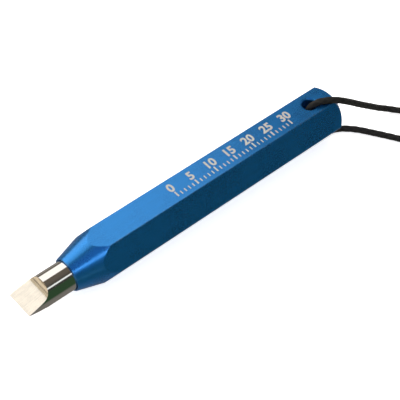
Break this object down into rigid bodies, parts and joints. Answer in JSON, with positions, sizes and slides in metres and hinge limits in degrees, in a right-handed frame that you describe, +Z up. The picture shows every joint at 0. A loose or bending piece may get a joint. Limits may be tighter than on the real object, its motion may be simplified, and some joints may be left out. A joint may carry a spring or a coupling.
{
  "type": "pocket chisel with lanyard",
  "caption": "Slim hex-handled hand tool: round steel bit with a double-bevel chisel edge, set screw, turned nose and domed end, thin black lanyard cord tied in a loop.",
  "frame": {"origin": "on the table, below the middle of the tool (the cord not counted)", "axes": "+X along the tool from the cutting edge to the domed rear end, +Y across, +Z up; the marked flat faces up; the tool's own axis rises rearwards by 1.62 degrees because the cord lies under its rear"},
  "size_m": [0.133, 0.0255, 0.0135],
  "materials": {
    "anodised_handle": "satin blue anodised aluminium with etched pale marks",
    "ground_steel": "polished round bar with fine ground bevels",
    "black_steel": "black oxide",
    "cord": "braided black cord",
    "tie": "matte elastic band"
  },
  "bodies": {
    "handle": {"handle": "anodised_handle", "cord_in_hole": "cord", "cord_upper_run": "cord", "cord_lower_run": "cord", "cord_knot": "cord", "cord_knot_lead": "cord", "cord_hank": "cord", "hank_tie": "tie"},
    "bit": {"cutter_bit": "ground_steel"},
    "screw": {"clamp_screw": "black_steel"}
  },
  "joints": [
    {"name": "bit_slide", "type": "slide", "parent": "handle", "child": "bit", "axis": [-0.9996, 0, -0.0283], "range_m": [0, 0.028]},
    {"name": "screw_travel", "type": "slide", "parent": "handle", "child": "screw", "axis": [0.0283, 0, -0.9996], "range_m": [0, 0.001]}
  ]
}
